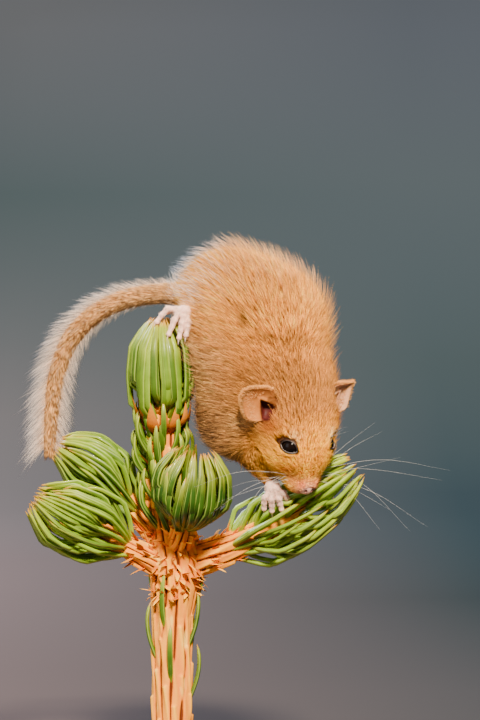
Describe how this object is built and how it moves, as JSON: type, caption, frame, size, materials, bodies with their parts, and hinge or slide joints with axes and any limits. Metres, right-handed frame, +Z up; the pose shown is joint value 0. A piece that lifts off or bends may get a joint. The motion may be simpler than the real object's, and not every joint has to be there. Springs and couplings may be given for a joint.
{
  "type": "hazel dormouse model",
  "caption": "Life-size still model of a hazel dormouse crouched head down on the tip of a spruce leader, with the cut shoot held upright on a flat display stand.",
  "frame": {"origin": "middle of the display stand's flat underside", "axes": "+Z up along the shoot, -Y towards the viewer of the picture, +X to that viewer's right, where the animal's head is"},
  "size_m": [0.118, 0.074, 0.1266],
  "materials": {
    "fur": "short soft golden-brown fur",
    "bare_skin": "thin pink skin with fine down",
    "eye_black": "wet glossy black",
    "needles": "waxy green",
    "bark": "ridged orange-brown young bark",
    "stand_wood": "satin dark wood",
    "stand_steel": "brushed"
  },
  "bodies": {
    "root": {"torso": "fur", "neck": "fur", "head": "fur", "ear_left": "bare_skin", "ear_right": "bare_skin", "eye_left": "eye_black", "eye_right": "eye_black", "foreleg_left": "fur", "foreleg_right": "fur", "forepaw_left": "bare_skin", "forepaw_right": "bare_skin", "hindleg_left": "fur", "hindleg_right": "fur", "hindpaw_left": "bare_skin", "hindpaw_right": "bare_skin", "tail_base": "fur", "tail_middle": "fur", "tail_tip": "fur", "perch_stem": "bark", "perch_shoot_top": "needles", "perch_shoot_front": "needles", "perch_shoot_left_low": "needles", "perch_shoot_left_high": "needles", "perch_shoot_right": "needles", "stand_base": "stand_wood", "stand_rod": "stand_steel"}
  },
  "joints": []
}
